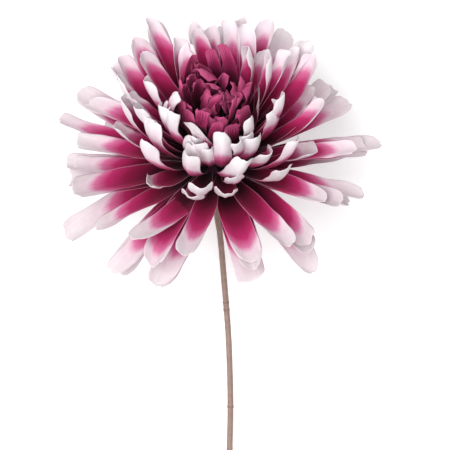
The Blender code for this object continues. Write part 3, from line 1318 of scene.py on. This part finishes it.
    def keep_to_wall(self, graph: GeometryGraph, place: Arrow) -> Arrow:
        """Hold heart petals inside the wall round the heart and the others outside it.

        Args:
            graph: The tree.
            place: The vertex's free place.

        Returns:
            The place that it is held to.
        """
        wall = self.wall
        axis = graph.given_arrow("Axis")
        offset = place - graph.given_arrow("Calyx")
        height = offset.dot(axis)
        radial = offset - axis * height
        radius = radial.length()
        below = (height - wall.height).at_most(0.0)
        ball = (wall.radius ** 2 - below * below).at_least(wall.foot ** 2).root()
        inner = radius.at_most(ball - wall.clear_inside) - radius
        outer = radius.at_least(ball + wall.clear_outside) - radius
        side = graph.given("Wall side")
        shift = inner * side.at_least(0.0) + outer * (0.0 - side).at_least(0.0)
        return place + radial.unit() * shift

    def keep_off_floor(self, graph: GeometryGraph, place: Arrow, side: Num) -> Arrow:
        """Lay a petal that meets the floor flat on it, on those below.

        Args:
            graph: The tree.
            place: The vertex's free place.
            side: Which face of the petal the vertex is on.

        Returns:
            The place that it is held to.
        """
        parts = graph.node("ShaderNodeSeparateXYZ", {0: place})
        thickness = graph.given("Thickness")
        lowest = graph.read("floor") + thickness * 0.5 + side * thickness * 0.5 + 0.0001
        z = graph.number(parts.outputs["Z"]).at_least(lowest)
        return graph.join(parts.outputs["X"], parts.outputs["Y"], z)

    def draw(self, petals: Sequence[Petal], name: str) -> bpy.types.Object:
        """Draw petals as one piece.

        Args:
            petals: The petals.
            name: The piece's name.

        Returns:
            The finished piece.
        """
        table = self.table(petals, name)
        values = {"Calyx": tuple(self.bloom.calyx), "Axis": tuple(self.bloom.axis)}
        piece = run_tree(self.build(name + "_tree"), table, name, values)
        kept = ("along", "across", "side", "cloth", "white", "white_shade", "tone")
        for attribute in list(piece.data.attributes):
            spare = attribute.domain == "POINT" and not attribute.is_internal
            if spare and not attribute.is_required and attribute.name not in kept:
                piece.data.attributes.remove(piece.data.attributes[attribute.name])
        return piece

    def table(self, petals: Sequence[Petal], name: str) -> bpy.types.Object:
        """A mesh of one point for each petal, which carries its numbers.

        Args:
            petals: The petals.
            name: The piece's name.

        Returns:
            The table as an object.
        """
        mesh = bpy.data.meshes.new(name + "_table")
        mesh.from_pydata([tuple(self.bloom.calyx)] * len(petals), [], [])
        rng = random.Random(self.shape.seed)
        numbers = {item.name: [] for item in fields(Petal)}
        for petal in petals:
            for label, column in numbers.items():
                column.append(getattr(petal, label))
        numbers["petal"] = list(range(len(petals)))
        numbers["phase"] = [rng.uniform(0, 2 * math.pi) for _ in petals]
        for label, column in numbers.items():
            attribute = mesh.attributes.new(label, "FLOAT", "POINT")
            attribute.data.foreach_set("value", column)
        for label, direction in (("outward", self.bloom.outward), ("sideways", self.bloom.sideways)):
            attribute = mesh.attributes.new(label, "FLOAT_VECTOR", "POINT")
            flat = [value for petal in petals for value in direction(petal.angle)]
            attribute.data.foreach_set("vector", flat)
        table = bpy.data.objects.new(name + "_table", mesh)
        bpy.context.scene.collection.objects.link(table)
        return table


@dataclass(frozen=True)
class Bloom:
    """Every petal of the bloom, in four layers."""

    frame: BloomFrame = BloomFrame()
    rule: PetalRule = PetalRule()
    wall: HeartWall = HeartWall()
    layers: dict[Layer, tuple[range, PetalShape]] = field(
        default_factory=lambda: {
            Layer.GUARD: (range(0, 5), PetalShape(wall_side=-1.0, seed=5)),
            Layer.RISING: (range(5, 8), PetalShape(wall_side=-1.0, seed=6)),
            Layer.SCOOP: (range(8, 11), PetalShape(wall_side=-1.0, seed=7)),
            Layer.HEART: (range(11, 16), PetalShape(wall_side=1.0, seed=8, wave_depth=2.6 * MM, waves=4.0)),
        }
    )

    def build(self) -> list[bpy.types.Object]:
        """Draw the layers and put them on the frame.

        Returns:
            One piece for each layer.
        """
        outer = PetalFinish().build()
        inner = HeartFinish().build()
        pieces = []
        for layer, (indices, shape) in self.layers.items():
            in_heart = layer is Layer.HEART
            petals = [petal for index in indices for petal in self.rule.petals_of(index)]
            tree = PetalTree(self.frame, self.wall, shape, inner if in_heart else outer)
            piece = tree.draw(petals, layer.value)
            node = "heart_florets" if in_heart else "ray_florets"
            hand_in(piece, [node])
            pieces.append(piece)
        return pieces


# The other pieces


@dataclass(frozen=True)
class Turned:
    """A solid turned on the bloom's axis from a profile of listed points, shaded smooth."""

    frame: BloomFrame
    profile: tuple[tuple[float, float], ...]
    name: str
    sides: int = 48
    smoothing: int = 2

    def build(self, finish: bpy.types.Material) -> bpy.types.Object:
        """Turn the solid.

        Args:
            finish: Its material.

        Returns:
            The finished piece.
        """
        mesh = bpy.data.meshes.new(self.name)
        outline = bmesh.new()
        corners = [outline.verts.new((radius * MM, 0, height * MM)) for height, radius in self.profile]
        for first, second in zip(corners, corners[1:]):
            outline.edges.new((first, second))
        bmesh.ops.spin(
            outline,
            geom=outline.verts[:] + outline.edges[:],
            cent=(0, 0, 0),
            axis=(0, 0, 1),
            angle=2 * math.pi,
            steps=self.sides,
        )
        bmesh.ops.remove_doubles(outline, verts=outline.verts[:], dist=1e-6)
        bmesh.ops.recalc_face_normals(outline, faces=outline.faces[:])
        outline.to_mesh(mesh)
        outline.free()
        turn = self.frame.axis.to_track_quat("Z", "Y").to_matrix().to_4x4()
        mesh.transform(turn)
        for vertex in mesh.vertices:
            vertex.co += self.frame.calyx
        mesh.polygons.foreach_set("use_smooth", [True] * len(mesh.polygons))
        mesh.materials.append(finish)
        piece = bpy.data.objects.new(self.name, mesh)
        bpy.context.scene.collection.objects.link(piece)
        return piece


@dataclass(frozen=True)
class Receptacle:
    """The domed receptacle that the petals grow from, and its crown under the heart."""

    frame: BloomFrame
    dome: tuple[tuple[float, float], ...] = (
        (20.8, 0.0),
        (20.8, 8.6),
        (18.0, 12.0),
        (14.0, 14.4),
        (10.0, 14.6),
        (5.0, 13.2),
        (0.5, 11.5),
        (-1.0, 9.5),
        (-1.0, 0.0),
    )
    crown: tuple[tuple[float, float], ...] = (
        (28.0, 0.0),
        (27.4, 3.0),
        (25.2, 5.2),
        (22.4, 6.4),
        (21.2, 6.2),
        (21.2, 0.0),
    )

    def build(self) -> list[bpy.types.Object]:
        """Turn the dome and the crown and put them on the frame.

        Returns:
            The two pieces.
        """
        finish = ReceptacleFinish().build()
        dome = Turned(self.frame, self.dome, "receptacle_dome").build(finish)
        crown = Turned(self.frame, self.crown, "receptacle_crown").build(finish)
        hand_in(dome, ["ray_florets"])
        hand_in(crown, ["heart_florets"])
        return [dome, crown]


@dataclass(frozen=True)
class Involucre:
    """The green calyx: a cup under the bloom with rows of overlapping scales."""

    frame: BloomFrame
    cup: tuple[tuple[float, float], ...] = (
        (-1.4, 0.0),
        (-1.4, 9.4),
        (-2.6, 9.6),
        (-5.0, 7.6),
        (-8.0, 4.0),
        (-9.5, 3.0),
        (-9.5, 0.0),
    )
    rows: tuple[tuple[int, float, float, float, float, float], ...] = (
        (7, -7.4, 4.2, 9.0, 2.9, 52.0),
        (7, -5.6, 6.6, 8.0, 3.4, 34.0),
    )
    shape: PetalShape = PetalShape(
        rows=16,
        columns=16,
        thickness=0.8 * MM,
        root_width=0.7,
        widest_at=0.4,
        tip_width=0.2,
        ridge_depth=0.05 * MM,
        wave_depth=0.1 * MM,
        seed=9,
    )

    def build(self) -> list[bpy.types.Object]:
        """Turn the cup, draw the scales and put them on the frame.

        Returns:
            The cup and the scales.
        """
        finish = CalyxFinish().build()
        cup = Turned(self.frame, self.cup, "calyx_cup").build(finish)
        tree = PetalTree(self.frame, HeartWall(), self.shape, finish)
        scales = tree.draw(self.scales(), "calyx_scales")
        hand_in(cup, ["involucre"])
        hand_in(scales, ["involucre"])
        return [cup, scales]

    def scales(self) -> list[Petal]:
        """The scales of both rows, each drawn as a short stiff petal."""
        scales = []
        for number, (count, height, radius, length, half_width, slope) in enumerate(self.rows):
            for place in range(count):
                scales.append(
                    Petal(
                        angle=2 * math.pi * (place + 0.5 * number) / count,
                        length=length * MM,
                        lift=math.radians(slope),
                        curl=math.radians(slope * 0.5),
                        bend=1.0,
                        half_width=half_width * MM,
                        twist=0.0,
                        sway=0.0,
                        cup=0.35,
                        white=0.0,
                        white_shade=0.0,
                        tip_starts=0.5,
                        seat_radius=radius * MM,
                        seat_height=height * MM,
                        floor=0.0,
                        tone=0.5,
                    )
                )
        return scales


@dataclass(frozen=True)
class Stem:
    """The thin stem: a round bar with small joints, from the calyx down to its cut end."""

    frame: BloomFrame
    radius: float = 1.4 * MM
    foot: float = -9.8 * MM
    lead: float = -13.5 * MM
    route: tuple[tuple[float, float, float], ...] = (
        (-0.2, -16.5, -14.6),
        (1.8, -27.8, -20.4),
        (4.0, -52.8, -26.6),
        (5.8, -77.0, -30.8),
        (6.6, -105.0, -35.0),
        (6.2, -128.0, -38.0),
    )
    end: tuple[float, float] = (5.4, -172.0)
    spacing: float = 6.0 * MM
    joints_at: tuple[float, ...] = (0.338, 0.358, 0.62)
    ring_step: float = 0.45 * MM
    sides: int = 20

    def middle(self) -> list[Vector]:
        """Points along the stem's middle, on a smooth curve through its corners."""
        calyx = self.frame.calyx
        corners = [self.frame.place(0, 0, self.foot), self.frame.place(0, 0, self.lead)]
        corners += [calyx + Vector(offset) * MM for offset in self.route]
        last = calyx + Vector((self.end[0] * MM, self.end[1] * MM, 0.0))
        last.z = self.radius
        corners.append(last)
        ends = [corners[0] * 2 - corners[1]], [corners[-1] * 2 - corners[-2]]
        padded = ends[0] + corners + ends[1]
        points = []
        for p0, p1, p2, p3 in zip(padded, padded[1:], padded[2:], padded[3:]):
            pieces = max(round((p2 - p1).length / self.spacing), 1)
            for piece in range(pieces):
                t = piece / pieces
                bend = p1 * 2 + (p2 - p0) * t + (p0 * 2 - p1 * 5 + p2 * 4 - p3) * t * t
                bend += (p1 * 3 - p0 - p2 * 3 + p3) * t * t * t
                points.append(bend / 2)
        points.append(corners[-1])
        return points

    def build(self) -> bpy.types.Object:
        """Draw the stem and put it on the frame.

        Returns:
            The finished piece.
        """
        points = self.middle()
        mesh = bpy.data.meshes.new("stem_line")
        edges = [(number, number + 1) for number in range(len(points) - 1)]
        mesh.from_pydata([tuple(point) for point in points], edges, [])
        line = bpy.data.objects.new("stem_line", mesh)
        bpy.context.scene.collection.objects.link(line)
        piece = run_tree(self.tree(StemFinish().build()), line, "stem_bar", {})
        hand_in(piece, ["stem"])
        return piece

    def tree(self, finish: bpy.types.Material) -> GeometryGraph:
        """The node tree that draws a bar with joints along a line.

        Args:
            finish: The stem's material.

        Returns:
            The tree.
        """
        inputs = {
            "Radius": ("Float", self.radius),
            "Ring step": ("Float", self.ring_step),
            "Sides": ("Int", self.sides),
            "Unevenness": ("Float", 0.05),
            "Joint swell": ("Float", 0.12),
            "Joint reach": ("Float", 0.005),
        }
        graph = GeometryGraph("stem_tree", inputs)
        line = graph.node("GeometryNodeMeshToCurve", {"Mesh": graph.entry.outputs["Geometry"]})
        rings = graph.node(
            "GeometryNodeResampleCurve",
            {"Curve": line.outputs[0], "Length": graph.given("Ring step")},
            mode="LENGTH",
        )
        along = graph.number(graph.node("GeometryNodeSplineParameter").outputs["Factor"])
        joint = along * 0.0
        for place in self.joints_at:
            reach = graph.given("Joint reach")
            joint = joint.at_least(1.0 - graph.ease(0.0, reach, (along - place).size()))
        where = graph.join(along * 160.0, 3.7, 0.0)
        uneven = graph.node("ShaderNodeTexNoise", {"Vector": where, "Scale": 0.5})
        uneven = (graph.number(uneven.outputs["Fac"]) - 0.5) * 2.0 * graph.given("Unevenness")
        swell = 1.0 + uneven + joint * graph.given("Joint swell") - 0.04
        curve = graph.store(rings.outputs[0], "along", along)
        curve = graph.store(curve, "joint", joint)
        curve = graph.node(
            "GeometryNodeSetCurveRadius", {"Curve": curve, "Radius": graph.given("Radius") * swell}
        )
        circle = graph.node(
            "GeometryNodeCurvePrimitiveCircle",
            {"Resolution": graph.given("Sides"), "Radius": 1.0},
        )
        scale = graph.node("GeometryNodeInputRadius").outputs[0]
        bar = graph.node(
            "GeometryNodeCurveToMesh",
            {"Curve": curve.outputs[0], "Profile Curve": circle.outputs[0], "Fill Caps": True},
        )
        if "Scale" in bar.inputs:
            graph.feed(bar.inputs["Scale"], scale)
        smooth = graph.node("GeometryNodeSetShadeSmooth", {"Geometry": bar.outputs[0]})
        graph.close(smooth.outputs[0], finish)
        return graph


@dataclass(frozen=True)
class Studio:
    """The pale floor, the soft lights and the camera that looks straight down."""

    frame: BloomFrame
    metres_per_pixel: float = 0.44 * MM
    calyx_pixel: tuple[float, float] = (215.6, 169.3)
    picture: int = 450
    distance: float = 0.990
    sensor: float = 36.0
    floor_size: float = 3.0
    ambient: float = 0.52
    key_power: float = 22.0
    key_size: float = 1.1
    key_place: tuple[float, float, float] = (-0.30, -0.05, 1.30)

    def build(self) -> None:
        """Set up the stage."""
        self.camera()
        self.floor()
        self.lights()

    def camera(self) -> None:
        """Put the camera over the bloom so that the calyx falls on its pixel."""
        data = bpy.data.cameras.new("camera")
        data.sensor_width = self.sensor
        data.lens = self.sensor * self.distance / (self.picture * self.metres_per_pixel)
        camera = bpy.data.objects.new("camera", data)
        half = self.picture / 2
        right = (half - self.calyx_pixel[0]) * self.metres_per_pixel
        down = (half - self.calyx_pixel[1]) * self.metres_per_pixel
        camera.location = self.frame.calyx + Vector((right, -down, self.distance))
        bpy.context.scene.collection.objects.link(camera)
        bpy.context.scene.camera = camera

    def floor(self) -> None:
        """Lay the pale floor."""
        mesh = bpy.data.meshes.new("floor")
        half = self.floor_size / 2
        corners = [(-half, -half, 0), (half, -half, 0), (half, half, 0), (-half, half, 0)]
        mesh.from_pydata(corners, [], [(0, 1, 2, 3)])
        mesh.materials.append(FloorFinish().build())
        floor = bpy.data.objects.new("floor", mesh)
        bpy.context.scene.collection.objects.link(floor)

    def lights(self) -> None:
        """Soft light from all round, and a large soft lamp above."""
        world = bpy.data.worlds.new("studio")
        world.use_nodes = True
        background = world.node_tree.nodes["Background"]
        background.inputs["Color"].default_value = (1.0, 1.0, 1.0, 1.0)
        background.inputs["Strength"].default_value = self.ambient
        bpy.context.scene.world = world
        data = bpy.data.lights.new("key", "AREA")
        data.energy = self.key_power
        data.size = self.key_size
        key = bpy.data.objects.new("key", data)
        key.location = self.frame.calyx + Vector(self.key_place)
        key.rotation_euler = Vector(self.key_place).to_track_quat("Z", "Y").to_euler()
        bpy.context.scene.collection.objects.link(key)
        bpy.context.scene.view_settings.view_transform = "Standard"


def main() -> None:
    """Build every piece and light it."""
    logging.basicConfig(level=logging.INFO, format="%(name)s %(message)s")
    bloom = Bloom()
    bloom.build()
    Receptacle(bloom.frame).build()
    Involucre(bloom.frame).build()
    Stem(bloom.frame).build()
    Studio(bloom.frame).build()


if __name__ == "__main__":
    main()
